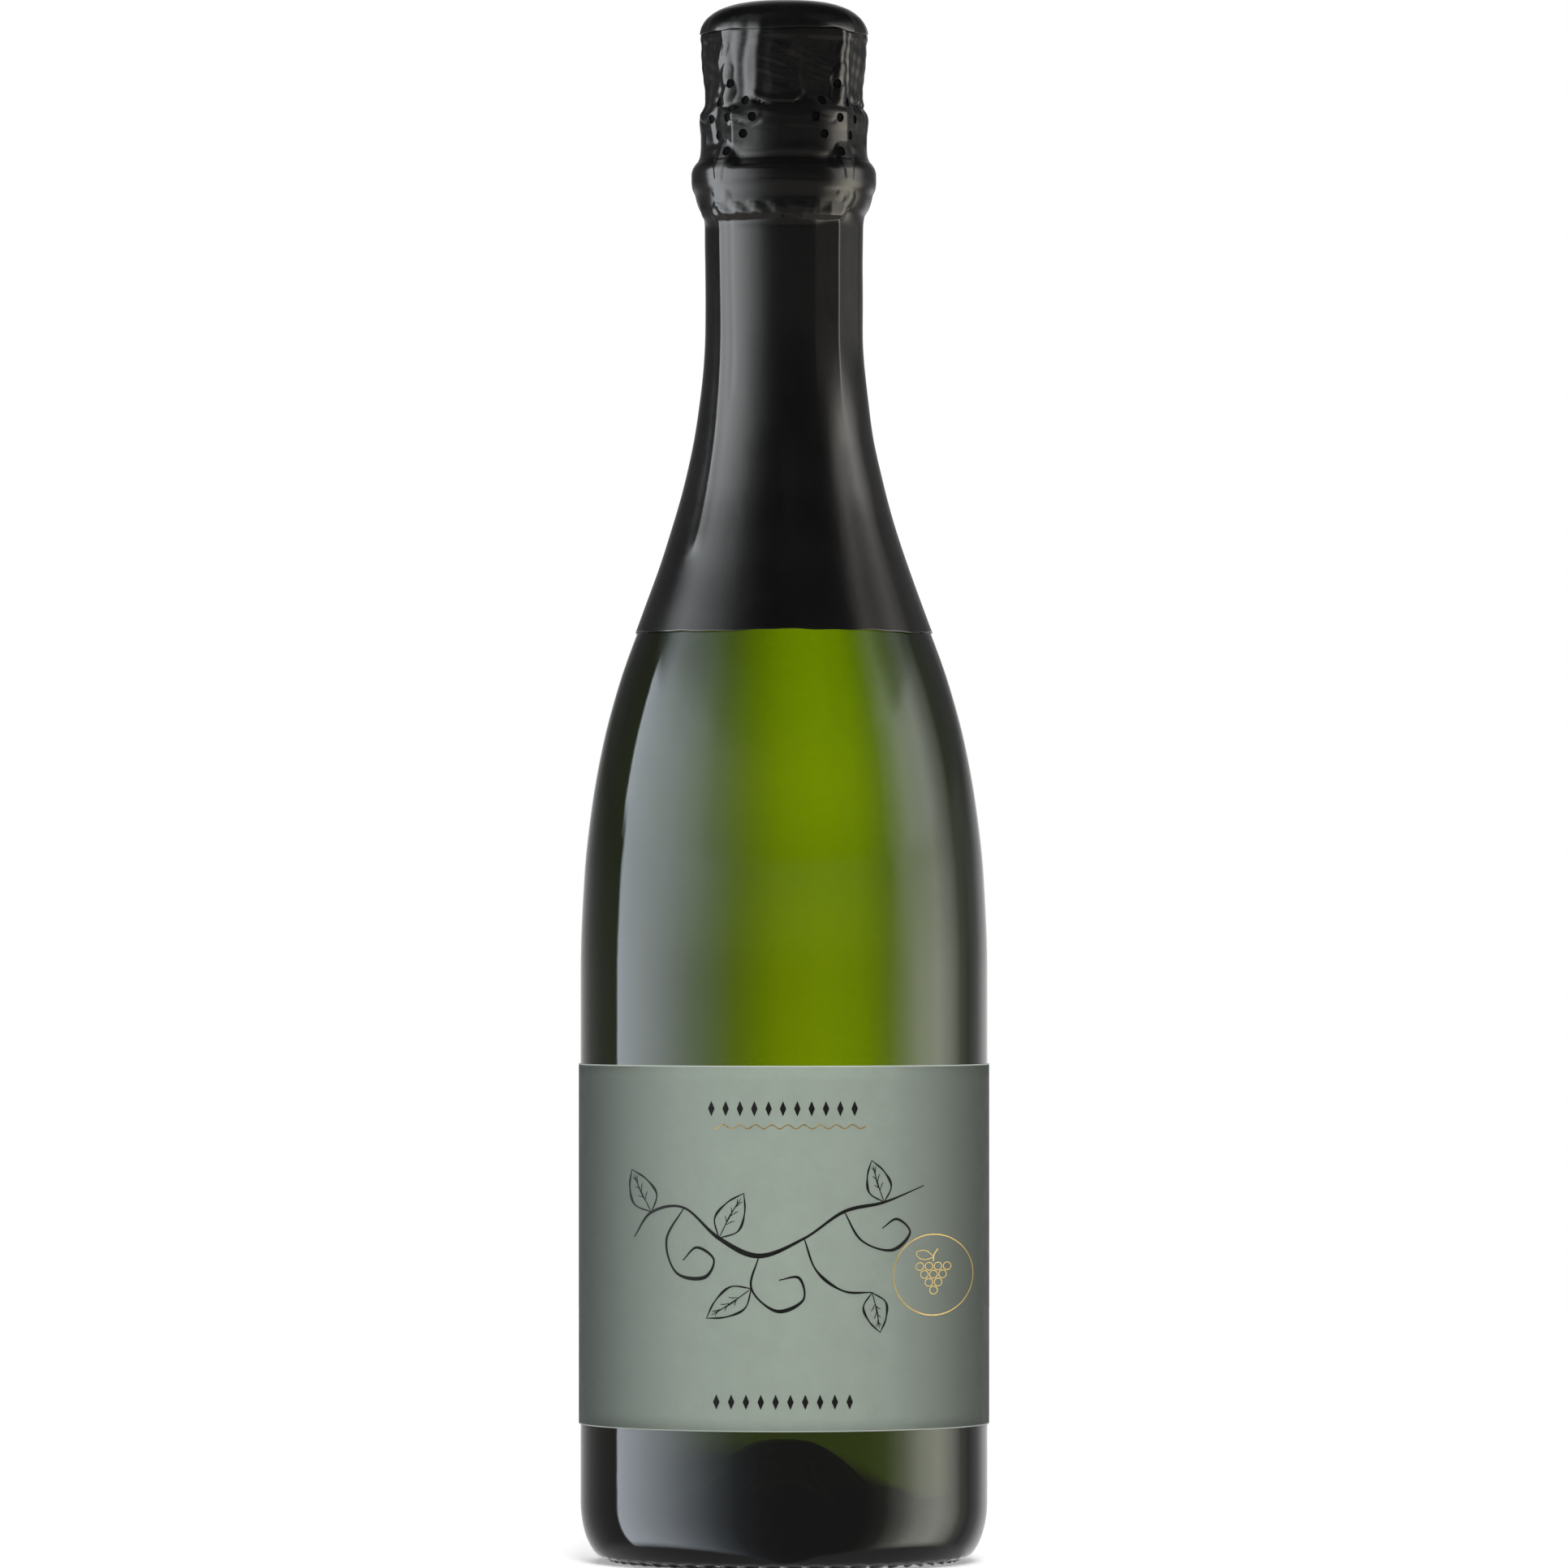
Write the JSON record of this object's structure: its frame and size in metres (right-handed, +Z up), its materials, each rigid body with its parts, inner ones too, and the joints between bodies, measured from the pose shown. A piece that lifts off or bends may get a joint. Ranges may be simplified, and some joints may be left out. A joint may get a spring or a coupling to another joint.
{
  "type": "sparkling wine bottle",
  "caption": "Green glass sparkling wine bottle with a punted base, a mushroom cork under a twisted wire cage and plate, a perforated black foil hood and neck foil, and a wrapped paper label.",
  "frame": {"origin": "centre of the bearing ring's plane, on the bottle's axis", "axes": "+Z up the axis from the base to the cork; the label faces -Y"},
  "size_m": [0.0834, 0.083, 0.317],
  "materials": {
    "glass_bottle": "smooth, dark olive green",
    "wine": "clear pale straw liquid",
    "cork_granule_body": "pressed cork granules",
    "cork_disc_lower": "natural cork",
    "cork_disc_upper": "natural cork",
    "cage_plate": "satin black lacquer",
    "cage_frame_wire": "tinned",
    "cage_belt_wire": "tinned",
    "foil_skirt": "satin black print",
    "foil_hood": "satin black print",
    "foil_top_disc": "satin black print",
    "front_label": "matt sage green"
  },
  "bodies": {
    "bottle": {"glass_bottle": "glass_bottle", "wine": "wine", "foil_skirt": "foil_skirt", "front_label": "front_label"},
    "cork": {"cork_granule_body": "cork_granule_body", "cork_disc_lower": "cork_disc_lower", "cork_disc_upper": "cork_disc_upper"},
    "cage": {"cage_plate": "cage_plate", "cage_frame_wire": "cage_frame_wire", "cage_belt_wire": "cage_belt_wire"},
    "hood": {"foil_hood": "foil_hood", "foil_top_disc": "foil_top_disc"}
  },
  "joints": [
    {"name": "cork_lift", "type": "slide", "parent": "bottle", "child": "cork", "axis": [0, 0, 1], "range_m": [0, 0.045]},
    {"name": "cage_lift", "type": "slide", "parent": "cork", "child": "cage", "axis": [0, 0, 1], "range_m": [0, 0.048], "deforming": ["cage_frame_wire", "cage_belt_wire"]},
    {"name": "hood_lift", "type": "slide", "parent": "cage", "child": "hood", "axis": [0, 0, 1], "range_m": [0, 0.045]}
  ]
}
